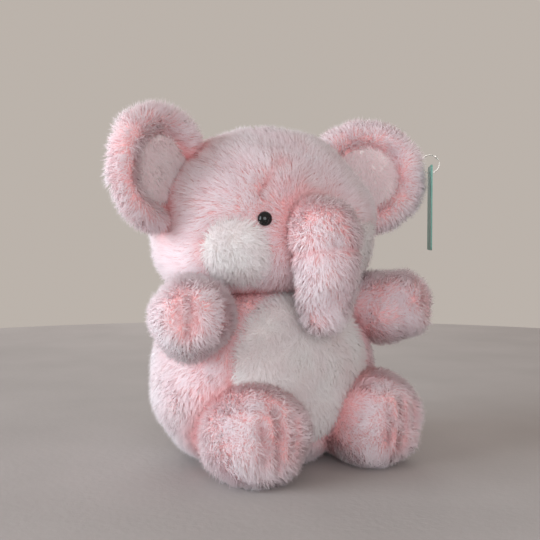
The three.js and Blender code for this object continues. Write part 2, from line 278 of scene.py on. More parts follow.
def pile(name, cloth, body, slot, material, density, length, lean, seed, wisps=0.12, trim=None):
    """Fibres rooted all over a cloth, gathered into small tufts. Density is fibres a square mm.
    Each fibre is a ribbon that tapers to its tip. It leans from the normal towards cloth["lie"].
    trim gives the share of their length that fibres keep after clipping, from their roots."""
    random = np.random.default_rng(seed)
    points, faces = cloth["points"], cloth["faces"]
    corners = points[faces]
    across = np.cross(corners[:, 1] - corners[:, 0], corners[:, 2] - corners[:, 0])
    area = np.linalg.norm(across, axis=1) / 2 * cloth["grows"][faces].min(axis=1)
    count = int(area.sum() * density)
    chosen = faces[random.choice(len(faces), count, p=area / area.sum())]
    first, second = random.random((2, count))
    folded = first + second > 1
    first[folded], second[folded] = 1 - first[folded], 1 - second[folded]
    share = np.stack([1 - first - second, first, second], 1)[:, :, None]

    def at_root(values):
        return (values[chosen] * share).sum(1)

    root = at_root(points)
    normal = at_root(normals_of(points, faces))
    normal /= np.linalg.norm(normal, axis=1)[:, None]
    # How far the pile parts at each root, with painted shade at joins and in creases: it shortens the fibres,
    # and the material paints them towards the deep colour.
    parts_and_shade = at_root(cloth["parts_and_shade"][:, None])[:, 0]

    tuft_width = 2.8
    cell = np.floor((root + 1.6 * soft_noise(root, 9, seed + 1)) / tuft_width).astype(int)
    _, tuft = np.unique(cell @ [1, 1000, 1000000], return_inverse=True)
    tufts = tuft.max() + 1
    tuft_turn = random.normal(scale=0.13, size=(tufts, 3))[tuft]
    tuft_pull = random.uniform(0.03, 0.2, tufts)[tuft]

    flow = at_root(cloth["lie"]) + 0.38 * soft_noise(root, 26, seed + 2) + tuft_turn
    flow += random.normal(scale=0.32, size=(count, 3))
    flow -= normal * (flow * normal).sum(1)[:, None]
    flow /= np.maximum(np.linalg.norm(flow, axis=1), 1e-6)[:, None]
    leaning = lean + 0.1 * soft_noise(root, 18, seed + 3)[:, 0] + random.normal(scale=0.12, size=count)
    wispy = random.random(count) < wisps
    leaning = np.clip(np.where(wispy, leaning * 0.6, leaning), 0.1, 1.35)
    reach = length * random.uniform(0.72, 1.18, count) * (1 - 0.45 * parts_and_shade)
    if trim:
        reach *= trim(root)

    def along(step):
        angle = (leaning * (0.55 + 0.5 * step))[:, None]
        way = normal * np.cos(angle) + flow * np.sin(angle)
        return root - 0.4 * normal + way * (reach * step)[:, None]

    tip = along(1.0)
    tuft_tip = np.stack([np.bincount(tuft, tip[:, axis]) for axis in range(3)], 1)
    tuft_tip /= np.bincount(tuft)[:, None]
    gathering = (tuft_tip[tuft] - tip) * tuft_pull[:, None]
    roll = random.uniform(-0.9, 0.9, count)
    steps, widths = (0.0, 0.55, 1.0), (0.19, 0.16, 0.0)
    places = [along(step) + gathering * step**2 for step in steps]
    vertices, facing = np.empty((count, 5, 3)), np.empty((count, 5, 3))
    table_clearance = 0.3
    for number, (place, width) in enumerate(zip(places, widths)):
        tangent = places[min(number + 1, 2)] - places[max(number - 1, 0)]
        tangent /= np.maximum(np.linalg.norm(tangent, axis=1), 1e-6)[:, None]
        flat = np.cross(tangent, normal)
        flat /= np.maximum(np.linalg.norm(flat, axis=1), 1e-6)[:, None]
        edge = flat * np.cos(roll)[:, None] + np.cross(tangent, flat) * np.sin(roll)[:, None]
        smooth = 0.8 * normal + 0.2 * np.cross(edge, tangent)
        smooth /= np.linalg.norm(smooth, axis=1)[:, None]
        spots = (2 * number, 2 * number + 1) if number < 2 else (4,)
        for spot, turn in zip(spots, (-1, 1)):
            vertices[:, spot] = place + edge * (turn * width)
            vertices[:, spot, 2] = np.maximum(vertices[:, spot, 2], table_clearance)
            facing[:, spot] = smooth
    ribbon = np.array([[0, 1, 3], [0, 3, 2], [2, 3, 4]])
    ribbon_faces = (np.arange(count)[:, None, None] * 5 + ribbon).reshape(-1, 3)
    made = mesh_piece(name, vertices.reshape(-1, 3), ribbon_faces, material)
    mesh = made.data

    height_along = np.tile([0, 0, 0.55, 0.55, 1.0], (count, 1))
    shade = np.repeat(random.random(count), 5)
    for label, values in (
        ("along", height_along.ravel()),
        ("shade", shade),
        ("parts_and_shade", np.repeat(parts_and_shade, 5)),
    ):
        layer = mesh.attributes.new(label, "FLOAT", "POINT")
        layer.data.foreach_set("value", values.astype(np.float32))

    # The chart for baking: fibres in rows by height, each at its own turn round the piece.
    low, high = points.min(0), points.max(0)
    centre = (low + high) / 2
    turn = np.arctan2(root[:, 0] - centre[0], centre[1] - root[:, 1]) / (2 * np.pi) + 0.5
    rows = 24
    row = np.clip(np.floor((root[:, 2] - low[2]) / (high[2] - low[2]) * rows), 0, rows - 1)
    sideways = np.tile([-1, 1, -1, 1, 0], (count, 1)) * 0.0012
    chart = np.empty((count, 5, 2))
    chart[:, :, 0] = np.clip(turn[:, None] * 0.99 + 0.005 + sideways, 0, 1)
    chart[:, :, 1] = (row[:, None] + 0.1 + 0.8 * height_along) / rows
    corner_chart = chart.reshape(-1, 2)[ribbon_faces.ravel()]
    layout = mesh.uv_layers.new(name="OFBake")
    layout.data.foreach_set("uv", corner_chart.astype(np.float32).ravel())
    mesh.normals_split_custom_set_from_vertices(facing.reshape(-1, 3))

    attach(made, body)


def pile_colour(name, deep, root, middle, tip):
    """Dyed acrylic fibre, saturated at the root and pale at the tip, the roots partly painted shade. Towards
    deep where the pile parts and at joins and creases: roots shown, and painted shade.
    """
    material, tree, shader = node_material(name)

    def reading(label):
        node = tree.nodes.new("ShaderNodeAttribute")
        node.attribute_name = label
        return node.outputs["Fac"]

    # Saturated at the root and pale at the tip: the saturated roots are partly painted shade deep in the
    # pile.
    colour_and_painted_shade = ramp(tree, reading("along"), [(0.05, root), (0.45, middle), (0.95, tip)])
    mottle = ramp(tree, noise(tree, 55, 4.0), [(0.3, (0.97, 0.91, 0.92)), (0.7, (1.0, 1.0, 1.0))])
    colour_and_painted_shade = mixed(tree, 1.0, colour_and_painted_shade, mottle, "MULTIPLY")
    fibre = ramp(tree, reading("shade"), [(0.0, (0.92, 0.90, 0.90)), (1.0, (1.0, 1.0, 1.0))])
    colour_and_painted_shade = mixed(tree, 1.0, colour_and_painted_shade, fibre, "MULTIPLY")
    # Painted shade: fibres at joins, seams and creases are blended towards the deep colour, which also stands
    # for roots shown where the pile parts.
    roots_and_shade_blend = ramp(tree, reading("parts_and_shade"), [(0.0, (0.0, 0.0, 0.0)), (1.0, (0.9, 0.9, 0.9))])
    colour_and_painted_shade = mixed(tree, roots_and_shade_blend, colour_and_painted_shade, (*deep, 1))
    tree.links.new(colour_and_painted_shade, shader.inputs["Base Color"])
    shader.inputs["Roughness"].default_value = 0.8
    shader.inputs["Specular IOR Level"].default_value = 0.25
    shader.inputs["Sheen Weight"].default_value = 0.5
    shader.inputs["Sheen Roughness"].default_value = 0.4
    through = tree.nodes.new("ShaderNodeBsdfTranslucent")
    tree.links.new(colour_and_painted_shade, through.inputs["Color"])
    both = tree.nodes.new("ShaderNodeMixShader")
    both.inputs[0].default_value = 0.38
    tree.links.new(shader.outputs[0], both.inputs[1])
    tree.links.new(through.outputs[0], both.inputs[2])
    tree.links.new(both.outputs[0], tree.nodes["Material Output"].inputs["Surface"])
    return material


def knit_colour(name, dark, light):
    """The knitted backing under the pile."""
    material, tree, shader = node_material(name)
    tone = ramp(tree, noise(tree, 900, 2.0), [(0.35, dark), (0.65, light)])
    tree.links.new(tone, shader.inputs["Base Color"])
    shader.inputs["Roughness"].default_value = 0.95
    shader.inputs["Sheen Weight"].default_value = 0.2
    roughened(tree, shader, noise(tree, 1400, 1.0), 0.0004)
    return material


pink_pile = pile_colour(
    "pink_pile", (0.88, 0.34, 0.34), (0.94, 0.71, 0.72), (0.955, 0.86, 0.885), (0.975, 0.945, 0.975)
)
white_pile = pile_colour(
    "white_pile", (0.90, 0.74, 0.72), (0.90, 0.83, 0.81), (0.93, 0.91, 0.90), (0.95, 0.94, 0.94)
)
pink_knit = knit_colour("pink_knit", (0.76, 0.38, 0.38), (0.86, 0.50, 0.50))
white_knit = knit_colour("white_knit", (0.74, 0.68, 0.67), (0.84, 0.80, 0.79))
pink_fibre = {"slot": "pink_plush", "material": pink_pile}
white_fibre = {"slot": "white_plush", "material": white_pile}


def closed_skin(rings, start, end):
    """A closed skin over rings of points, from a start point to an end point, facing outwards."""
    count, around = rings.shape[:2]
    points = np.vstack([rings.reshape(-1, 3), start, end])
    row = np.arange(count - 1)[:, None] * around
    a = (row + np.arange(around)).ravel()
    b = (row + (np.arange(around) + 1) % around).ravel()
    c, d = a + around, b + around
    this, following = np.arange(around), (np.arange(around) + 1) % around
    last = (count - 1) * around
    caps = [
        np.stack([np.full(around, count * around), following, this], 1),
        np.stack([np.full(around, count * around + 1), last + this, last + following], 1),
    ]
    faces = np.vstack([np.stack([a, b, d], 1), np.stack([a, d, c], 1), *caps])
    corners = points[faces] - points.mean(0)
    volume = (np.cross(corners[:, 0], corners[:, 1]) * corners[:, 2]).sum()
    return points, faces if volume > 0 else faces[:, ::-1].copy()


def filling(name, points, faces, body, *nodes):
    """Loose polyester fibre, pressed into the shape of the cloth round it."""
    normals = normals_of(points, faces)
    lumps = soft_noise(points, 9, 5)[:, :1] + soft_noise(points, 4.5, 6)[:, :1]
    made = mesh_piece(name, points + normals * (0.7 * lumps - 0.7), faces, loose_fibre)
    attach(made, body)
    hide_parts(*nodes)


loose_fibre, tree, shader = node_material("loose_fibre")
wool = ramp(tree, noise(tree, 300, 6.0), [(0.3, (0.72, 0.71, 0.68)), (0.7, (0.90, 0.89, 0.86))])
tree.links.new(wool, shader.inputs["Base Color"])
shader.inputs["Roughness"].default_value = 0.95
roughened(tree, shader, noise(tree, 700, 6.0), 0.0008)

body_low, body_high = node_box("torso_skin")
body_form = {
    "centre": np.array([0, (body_low[1] + body_high[1]) / 2 + 2.4, 58]),
    "radii": np.array([77, 62, 64.0]),
    "power": 2.2,
    "pear": 0.05,
}
body_swell = (78, 128, 4.5)
belly_middle, belly_half = np.array([0, 66.0]), np.array([49.0, 44.0])


def belly_reach(points):
    """How far out a point is from the belly panel's middle: 1 at its seam, seen from the front."""
    flat = (points[:, [0, 2]] - belly_middle) / belly_half
    return np.where(points[:, 1] < body_form["centre"][1], np.linalg.norm(flat, axis=1), 9.0)


def stuffed_out(form, points, lowest, highest, swell):
    """Cloth pushed out unevenly by its filling, and fuller by swell between two heights."""
    nudges = np.eye(3) * 0.5
    inward = np.stack(
        [depth_in_round(form, points + nudge) - depth_in_round(form, points - nudge) for nudge in nudges], 1
    )
    outward = -inward / np.linalg.norm(inward, axis=1)[:, None]
    level = np.clip((points[:, 2] - lowest) / (highest - lowest), 0, 1)
    fuller = swell * np.sin(np.pi * level) ** 2
    return points + outward * (1.1 * soft_noise(points, 44, 11)[:, 0] + fuller)[:, None]


directions, ball_faces = ball_mesh(6)
points = stuffed_out(body_form, round_points(body_form, directions, -CLOTH), *body_swell)
normals = normals_of(points, ball_faces)
seam_distance = (belly_reach(points) - 1) * 44
points, belly_seam = crease(points, normals, seam_distance, 1.6, 3.5)
back_distance = np.where(points[:, 1] > 0, np.abs(points[:, 0]), 99.0)
points, back_seam = crease(points, normals, back_distance, 1.2, 2.5)
points[:, 2] = np.maximum(points[:, 2], 1.2)
limbs = ["arm_left", "arm_right", "leg_left", "leg_right"]
limb_depth = depth_in_nodes(points, [f"{limb}_stuffing" for limb in limbs])
head_depth = depth_in_nodes(points, ["head_stuffing"])
# Painted shade round the limb and head joins and in the belly and back seams, where the pile also parts.
contact_parts_and_shade = np.maximum(0.65 * join_parts_and_shade(limb_depth), join_parts_and_shade(head_depth))
body_cloth = {
    "points": points,
    "faces": ball_faces,
    "parts_and_shade": np.clip(0.4 * belly_seam + 0.6 * back_seam + contact_parts_and_shade, 0, 1),
    "lie": np.array([0, 0, -1.0]) + 0.35 * normals * [1, 1, 0],
    "grows": (limb_depth < 9) * (head_depth < 11) * (points[:, 2] > 1.5) * (belly_reach(points) > 0.97),
}
body = mesh_piece("body_cloth", points, ball_faces, pink_knit)
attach(body, "torso")
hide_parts("torso_skin")
label_low, label_high = node_box("care_label")
label_middle = (label_low + label_high) / 2


def under_the_label(roots):
    """The care label presses the pile under it flat."""
    away = np.abs(roots - label_middle) - [10, 40, 14]
    return np.clip(0.22 + np.maximum(away.max(1), 0) / 5, 0, 1)


in_front = points[ball_faces].mean(1)[:, 1] < 8
for part, share in (("front", ball_faces[in_front]), ("back", ball_faces[~in_front])):
    part_cloth = {**body_cloth, "faces": share}
    pile(
        f"body_pile_{part}", part_cloth, "torso", **pink_fibre,
        density=1.9, length=8.2, lean=0.82, seed=21, trim=under_the_label,
    )

fill_directions, fill_faces = ball_mesh(5)
filling("body_filling", round_points(body_form, fill_directions, -6.5), fill_faces, "torso", "torso_stuffing")


# ---- The belly panel and its seam ----
# An oval of white plush with a shorter, denser pile, let into the front of the body. It is
# crowned a little over the pink cloth and turned under at its seam.
def onto_round(form, origins, way, inset):
    """Where rays from inside a stuffed round meet the surface that is inset below its own."""
    near, far = np.zeros(len(origins)), np.full(len(origins), 130.0)
    for _ in range(26):
        half = (near + far) / 2
        within = depth_in_round(form, origins + way * half[:, None]) > inset
        near, far = np.where(within, half, near), np.where(within, far, half)
    return origins + way * near[:, None]


def panel(name, form, swell, middle, across, upward, halves, way, crown, body, node, droop, hidden_in):
    """An oval panel of white plush let into a stuffed round: a closed, crowned lens of cloth."""
    reaches = np.array([0.08, 0.2, 0.34, 0.48, 0.62, 0.74, 0.84, 0.92, 0.97, 1.0])
    around = 72
    turns = np.linspace(0, 2 * np.pi, around, endpoint=False)

    def ring(reach, lift):
        flat = np.outer(np.cos(turns), across) * halves[0] + np.outer(np.sin(turns), upward) * halves[1]
        return stuffed_out(form, onto_round(form, middle + flat * reach, way, CLOTH - lift), *swell)

    front = [ring(reach, crown * (1 - reach**6) - 0.3) for reach in reaches]
    back = [ring(reach, -1.8) for reach in reaches[-2::-1]]
    points, faces = closed_skin(np.array(front + back), front[0].mean(0), back[-1].mean(0))
    reach_of = np.concatenate([np.repeat(reaches, around), np.repeat(reaches[-2::-1], around), [0, 0]])
    on_front = np.arange(len(points)) < len(reaches) * around
    on_front[-2] = True
    cloth = {
        "points": points,
        "faces": faces,
        "parts_and_shade": np.zeros(len(points)),
        "lie": 0.9 * (points - points[-2]) / min(halves) * reach_of[:, None] ** 2 + [0, -0.1, droop],
        "grows": on_front * (depth_in_nodes(points, hidden_in) < 9),
    }
    made = mesh_piece(name, points, faces, white_knit)
    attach(made, body)
    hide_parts(node)
    return cloth


belly = panel(
    "belly_cloth",
    body_form,
    body_swell,
    middle=np.array([belly_middle[0], body_form["centre"][1], belly_middle[1]]),
    across=np.array([1, 0, 0]),
    upward=np.array([0, 0, 1]),
    halves=belly_half - 0.6,
    way=np.array([0, -1, 0]),
    crown=1.4,
    body="torso",
    node="belly_panel",
    droop=-0.7,
    hidden_in=["leg_left_stuffing", "leg_right_stuffing"],
)
pile("belly_pile", belly, "torso", **white_fibre, density=2.2, length=7.5, lean=1.0, seed=31, wisps=0.06)


# ---- Inside the seat and the neck ----
# A cotton bag of plastic pellets weighs the seat down. A plug of fibre joins body and head.
bag_low, bag_high = node_box("pellet_bag")
bag_form = {
    "centre": (bag_low + bag_high) / 2,
    "radii": (bag_high - bag_low) / 2 + 0.3,
    "power": 2.0,
    "pear": 0.0,
}
bag_points = round_points(bag_form, fill_directions, -0.6)
bag_normals = normals_of(bag_points, fill_faces)
pellets = np.abs(soft_noise(bag_points, 3.6, 41)[:, :1])
bag_edge = np.exp(-(((bag_points[:, 2] - bag_form["centre"][2]) / 1.1) ** 2))
bag_points += bag_normals * (0.35 * pellets + 0.5 * bag_edge[:, None])
cotton, tree, shader = node_material("cotton_calico")
threads = ramp(tree, noise(tree, 1100, 2.0), [(0.35, (0.66, 0.60, 0.48)), (0.65, (0.82, 0.77, 0.66))])
tree.links.new(threads, shader.inputs["Base Color"])
shader.inputs["Roughness"].default_value = 0.9
roughened(tree, shader, noise(tree, 1300, 2.0), 0.0003)
bag = mesh_piece("pellet_bag_cloth", bag_points, fill_faces, cotton)
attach(bag, "torso")
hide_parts("pellet_bag")

plug_low, plug_high = node_box("neck_stuffing")
plug_form = {
    "centre": (plug_low + plug_high) / 2,
    "radii": (plug_high - plug_low) / 2,
    "power": 2.0,
    "pear": 0.0,
}
filling("neck_filling", round_points(plug_form, fill_directions, -0.8), fill_faces, "neck", "neck_stuffing")


# ---- The head: a wide round of pink plush, fullest at the cheeks ----
# Four panels meet on the forehead. The pile is brushed back from the trunk, and it is clipped
# short round the eyes. A dart over the right eye gathers the cloth a little.
head_low, head_high = node_box("head_skin")
head_form = {
    "centre": (head_low + head_high) / 2,
    "radii": (head_high - head_low) / 2 * [0.988, 1.0, 1.014],
    "power": 2.1,
    "pear": 0.15,
}
head_swell = (102, 150, 5.0)
cheek_radius, cheek_turn, cheek_height = 18.5, math.radians(48), 142.0
eye_x, eye_z = 33.0, 161.0
sides = {"left": 1, "right": -1}
cheek_ways = {
    name: np.array([side * math.sin(cheek_turn), -math.cos(cheek_turn), 0]) for name, side in sides.items()
}
cheek_middle = np.array([0, head_form["centre"][1], cheek_height])
brow = np.array([[0, head_form["centre"][1], eye_z]])
eye_places = {
    name: onto_round(head_form, brow + [[side * eye_x, 0, 0]], np.array([0, -1, 0]), 0.0)[0]
    for name, side in sides.items()
}


def cheek_reach(points):
    """How far out a point is from the nearer cheek patch's middle: 1 at the patch's seam."""
    reach = np.full(len(points), 9.0)
    for way in cheek_ways.values():
        offset = points - cheek_middle
        along = offset @ way
        out = np.linalg.norm(offset - along[:, None] * way, axis=1) / cheek_radius
        reach = np.where(along > 0, np.minimum(reach, out), reach)
    return reach


def distance_from_line(points, start, end):
    """How far points are from a straight line between two places."""
    start, end = np.array(start), np.array(end)
    share = np.clip((points - start) @ (end - start) / ((end - start) @ (end - start)), 0, 1)
    return np.linalg.norm(points - start - share[:, None] * (end - start), axis=1)


points = stuffed_out(head_form, round_points(head_form, directions, -CLOTH), *head_swell)
normals = normals_of(points, ball_faces)
points, cheek_seam = crease(points, normals, (cheek_reach(points) - 1) * cheek_radius, 1.5, 3.0)
dart_distance = distance_from_line(points, (-15, -37, 194), (-31, -42, 176))
points, dart = crease(points, normals, dart_distance, 2.4, 2.6)
eye_distance = np.minimum(*[np.linalg.norm(points - place, axis=1) for place in eye_places.values()])
points, socket = crease(points, normals, eye_distance, 1.6, 8.0)
trunk_depth = depth_in_nodes(points, ["trunk_stuffing"])
neck_depth = depth_in_round(body_form, points)
ear_depth = depth_in_nodes(points, ["ear_left_padding", "ear_right_padding"])
# Painted shade round the ear and trunk joins and under the chin at the neck, with more in the cheek seams and
# the dart, where the pile also parts.
contact_parts_and_shade = join_parts_and_shade(np.maximum(neck_depth + 5, ear_depth)) + 0.45 * join_parts_and_shade(trunk_depth)
from_trunk = points - [0, -58, 150]
head_cloth = {
    "points": points,
    "faces": ball_faces,
    "parts_and_shade": np.clip(0.35 * cheek_seam + 0.8 * dart + contact_parts_and_shade, 0, 1),
    "lie": from_trunk / np.linalg.norm(from_trunk, axis=1)[:, None] + [0, 0.3, -0.25],
    "grows": (trunk_depth < 8) * (neck_depth < 10) * (ear_depth < 9) * (cheek_reach(points) > 0.95),
}
head = mesh_piece("head_cloth", points, ball_faces, pink_knit)
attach(head, "head")
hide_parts("head_skin")


def round_the_eyes(roots):
    """The pile is clipped close to each eye."""
    away = np.minimum(*[np.linalg.norm(roots - place, axis=1) for place in eye_places.values()])
    return np.clip((away - 3.4) / 7, 0.34, 1)


in_front = points[ball_faces].mean(1)[:, 1] < 6
for part, share in (("front", ball_faces[in_front]), ("back", ball_faces[~in_front])):
    part_cloth = {**head_cloth, "faces": share}
    pile(
        f"head_pile_{part}", part_cloth, "head", **pink_fibre,
        density=1.9, length=8.2, lean=0.82, seed=22, trim=round_the_eyes,
    )
filling("head_filling", round_points(head_form, fill_directions, -6.5), fill_faces, "head", "head_stuffing")


# ---- The cheeks: two round patches of white plush ----
# Each is let into the head like the belly panel, under the outer corner of an eye.
for name, side in sides.items():
    way = cheek_ways[name]
    cheek = panel(
        f"cheek_{name}_cloth",
        head_form,
        head_swell,
        middle=cheek_middle,
        across=np.array([side * math.cos(cheek_turn), math.sin(cheek_turn), 0]),
        upward=np.array([0, 0, 1]),
        halves=np.array([cheek_radius - 0.5, cheek_radius - 0.5]),
        way=way,
        crown=1.6,
        body="head",
        node=f"cheek_patch_{name}",
        droop=-0.35,
        hidden_in=["trunk_stuffing"],
    )
    pile(
        f"cheek_{name}_pile", cheek, "head", **white_fibre,
        density=2.4, length=7.5, lean=1.0, seed=33, wisps=0.06, trim=round_the_eyes,
    )


# ---- The eyes: black moulded buttons, each with a washer behind the cloth ----
# Hard glossy plastic, domed, with the shank moulded in one. The shank goes through the cloth
# into a washer that locks on it.
eye_plastic, tree, shader = node_material("eye_plastic")
depths = ramp(tree, noise(tree, 260, 2.0), [(0.3, (0.004, 0.004, 0.004)), (0.7, (0.012, 0.010, 0.010))])
tree.links.new(depths, shader.inputs["Base Color"])
shader.inputs["Roughness"].default_value = 0.07
shader.inputs["Specular IOR Level"].default_value = 0.3

washer_plastic, tree, shader = node_material("washer_plastic")
tone = ramp(tree, noise(tree, 500), [(0.3, (0.76, 0.75, 0.71)), (0.7, (0.84, 0.83, 0.79))])
tree.links.new(tone, shader.inputs["Base Color"])
shader.inputs["Roughness"].default_value = 0.45
roughened(tree, shader, noise(tree, 1500), 0.0001)


def turned_piece(name, profile, place, facing, material, around=48):
    """A piece turned on its axis. The profile is (out from the axis, along it) from end to end."""
    facing = facing / np.linalg.norm(facing)
    across = np.cross(facing, [0, 0, 1])
    across /= np.linalg.norm(across)
    upward = np.cross(facing, across)
    turns = np.linspace(0, 2 * np.pi, around, endpoint=False)
    spokes = np.outer(np.cos(turns), across) + np.outer(np.sin(turns), upward)
    rings = np.array([place + facing * along + spokes * out for out, along in profile[1:-1]])
    ends = [place + facing * profile[0][1], place + facing * profile[-1][1]]
    return mesh_piece(name, *closed_skin(rings, *ends), material)


for name, side in sides.items():
    place = eye_places[name]
    steps = np.eye(3) * 0.5
    around_eye = np.vstack([place + steps, place - steps])
    depths_round = depth_in_round(head_form, around_eye)
    facing = depths_round[3:] - depths_round[:3]
    place = place - 1.1 * facing / np.linalg.norm(facing)
    dome = [(4.5 * math.cos(t), 0.35 + 3.6 * math.sin(t)) for t in np.linspace(0, 1.45, 12)]
    rim = [(1.5, 0.3), (3.6, 0.0), (4.2, 0.05), (4.45, 0.2)]
    shank = [(0, -9.0), (1.2, -9.0), (1.5, -8.6), (1.5, -6.0), (1.35, -5.8), (1.5, -5.6)]
    eye = turned_piece(f"eye_{name}_button", shank + rim + dome + [(0, 3.95)], place, facing, eye_plastic)
    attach(eye, "head")
    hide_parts(f"eye_{name}")
    washer = frame["nodes"][f"eye_washer_{name}"]
    washer.data.materials.clear()
    washer.data.materials.append(washer_plastic)


# ---- The trunk: a stuffed tube that comes straight out of the face and hangs to the belly ----
# It is gathered into the face at its root, has a full bend like a knee, and tapers to a round
# end. The pile lies down its length.
def smooth_path(knots, count=80):
    """Points spaced evenly along a smooth curve through the knots."""
    knots = np.array(knots, dtype=float)
    padded = np.vstack([2 * knots[0] - knots[1], knots, 2 * knots[-1] - knots[-2]])
    curve = []
    for number in range(len(knots) - 1):
        a, b, c, d = padded[number : number + 4]
        t = np.linspace(0, 1, 40, endpoint=False)[:, None]
        bend, twist = 2 * a - 5 * b + 4 * c - d, 3 * b - a - 3 * c + d
        curve.append(0.5 * (2 * b + (c - a) * t + bend * t**2 + twist * t**3))
    curve = np.vstack([*curve, knots[-1:]])
    run = np.concatenate([[0], np.cumsum(np.linalg.norm(np.diff(curve, axis=0), axis=1))])
    even = np.linspace(0, run[-1], count)
    return np.stack([np.interp(even, run, curve[:, axis]) for axis in range(curve.shape[1])], 1)


def stuffed_tube(knots, radius_at, bluntness, grow=0.0, around=60, rows=64):
    """A closed stuffed tube: its points and faces, how far along each point is (from -1 at the
    root to 1 at the tip), the path's direction there, and its middle."""
    stations = 120
    path = smooth_path(knots, stations)
    ahead = np.gradient(path, axis=0)
    ahead /= np.linalg.norm(ahead, axis=1)[:, None]
    reach = -np.cos(np.linspace(0, np.pi, rows + 2))
    share = (1 + reach) / 2 * (stations - 1)

    def at_share(values):
        return np.stack([np.interp(share, np.arange(stations), values[:, axis]) for axis in range(3)], 1)

    def round_each(values):
        return np.concatenate([np.repeat(values[1:-1], around, axis=0), values[:1], values[-1:]])

    middle, way = at_share(path), at_share(ahead)
    way /= np.linalg.norm(way, axis=1)[:, None]
    middle = middle + way * (reach * grow)[:, None]
    side = np.array([1.0, 0, 0]) - way * way[:, :1]
    side /= np.linalg.norm(side, axis=1)[:, None]
    over = np.cross(way, side)
    fullness = np.maximum(0, 1 - np.abs(reach) ** bluntness) ** (1 / bluntness)
    swell = (radius_at((1 + reach) / 2) + grow) * fullness
    turns = np.linspace(0, 2 * np.pi, around, endpoint=False)
    rings = middle[:, None] + swell[:, None, None] * (
        side[:, None] * np.cos(turns)[:, None] + over[:, None] * np.sin(turns)[:, None]
    )
    points, faces = closed_skin(rings[1:-1], middle[:1], middle[-1:])
    return points, faces, round_each(reach), round_each(way), round_each(middle)


def ease(value, start, end):
    """A smooth step from 0 at the start to 1 at the end."""
    share = np.clip((value - start) / (end - start), 0, 1)
    return share * share * (3 - 2 * share)


def plush_tube(name, body, knots, radius_at, bluntness, creases, sunk_in, density, length, seed):
    """A stuffed plush tube on its own body: cloth, pile and filling. creases takes the points,
    how far along they are and their middles, and gives each seam's distance, depth and width."""
    points, faces, reach, way, middle = stuffed_tube(knots, radius_at, bluntness, -CLOTH)
    normals = normals_of(points, faces)
    points = points + normals * (0.8 * soft_noise(points, 30, seed)[:, :1])
    # Painted shade in the creases and round the join with the body or head, where the pile also parts.
    parts_and_shade = np.zeros(len(points))
    for distance, depth, width in creases(points, reach, middle):
        points, pull = crease(points, normals, distance, depth, width)
        parts_and_shade = np.maximum(parts_and_shade, 0.5 * pull)
    points[:, 2] = np.maximum(points[:, 2], 1.2)
    sunk = depth_in_round(sunk_in, points)
    at_end = 0.9 * ease(reach, 0.5, 0.95)[:, None]
    outward = points - middle[-1]
    fanned = 0.9 * outward / np.linalg.norm(outward, axis=1).max() + [0, 0, -0.35]
    cloth = {
        "points": points,
        "faces": faces,
        "parts_and_shade": np.clip(parts_and_shade + 0.6 * join_parts_and_shade(sunk), 0, 1),
        "lie": way * (1 - at_end) + fanned * at_end,
        "grows": (sunk < 8) * (points[:, 2] > 1.5),
    }
    made = mesh_piece(f"{name}_cloth", points, faces, pink_knit)
    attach(made, body)
    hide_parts(f"{name}_skin")
    pile(f"{name}_pile", cloth, body, **pink_fibre, density=density, length=length, lean=0.82, seed=seed)
    inner, inner_faces = stuffed_tube(knots, radius_at, bluntness, -8, 28, 30)[:2]
    inner[:, 2] = np.maximum(inner[:, 2], 2.5)
    filling(f"{name}_filling", inner, inner_faces, body, f"{name}_stuffing")


def trunk_creases(points, reach, middle):
    """Two soft folds across the back of the trunk, where it bends."""
    under = np.where(points[:, 1] > middle[:, 1], 1.0, 9.0)
    return [(np.abs(reach + 0.12) * 45 * under, 1.6, 4.0), (np.abs(reach - 0.38) * 45 * under, 1.0, 3.0)]


plush_tube(
    "trunk", "trunk",
    knots=[(0, -34, 158), (0.5, -57, 155.5), (-0.5, -64.5, 141), (0, -64, 116), (0, -64.5, 91)],
    radius_at=lambda share: 18 + 3.2 * np.exp(-(((share - 0.33) / 0.2) ** 2)) - 2.6 * ease(share, 0.6, 1.0),
    bluntness=3.4, creases=trunk_creases, sunk_in=head_form, density=2.0, length=8.2, seed=51,
)


# ---- The ears: two thick round dishes ----
# A padded rim of pink plush round a thinner middle, with a white patch sewn in the front. The
# inner edge is sewn to the head, and the outer edge stands forward.
# The ear patch is the white plush, coloured pinker here: painted pink shade.
white_pile_painted_pink_shade = pile_colour(
    "white_pile_painted_pink_shade", (0.90, 0.50, 0.50), (0.95, 0.76, 0.76), (0.97, 0.86, 0.87), (0.98, 0.92, 0.93)
)
ear_x, ear_z = 81.0, 192.5
ear_around = 96
ear_stretch, ear_turn = 1.07, math.radians(26)
ear_profile = smooth_path(
    [
        (0.5, 4.4), (12, 4.7), (24, 5.6), (32, 6.0), (36.3, 4.2), (38.0, 0.0), (36.3, -4.2),
        (32, -6.0), (27.5, -4.6), (23.5, -1.2), (20.5, 0.5), (10, 0.6), (0.5, 0.6),
    ],
    54,
)
patch_profile = smooth_path(
    [(0.5, 1.2), (10, 1.2), (19, 1.0), (21.3, 0.2), (20.6, -0.9), (17, -1.5), (9, -1.7), (0.5, -1.7)], 40
)


def dish(profile, side, place, around):
    """A closed dish turned from a profile of (out from its middle, back from it)."""
    turns = np.linspace(0, 2 * np.pi, around, endpoint=False)
    out, back = profile[:, 0][:, None], profile[:, 1][:, None]
    flat = np.stack([out * np.cos(turns) * ear_stretch, back + 0 * turns, out * np.sin(turns)], 2)
    cos, sin = math.cos(ear_turn), -side * math.sin(ear_turn)
    turned = flat @ np.array([[cos, sin, 0], [-sin, cos, 0], [0, 0, 1]])
    ends = [turned[0].mean(0) + place, turned[-1].mean(0) + place]
    return closed_skin(turned + place, *ends)


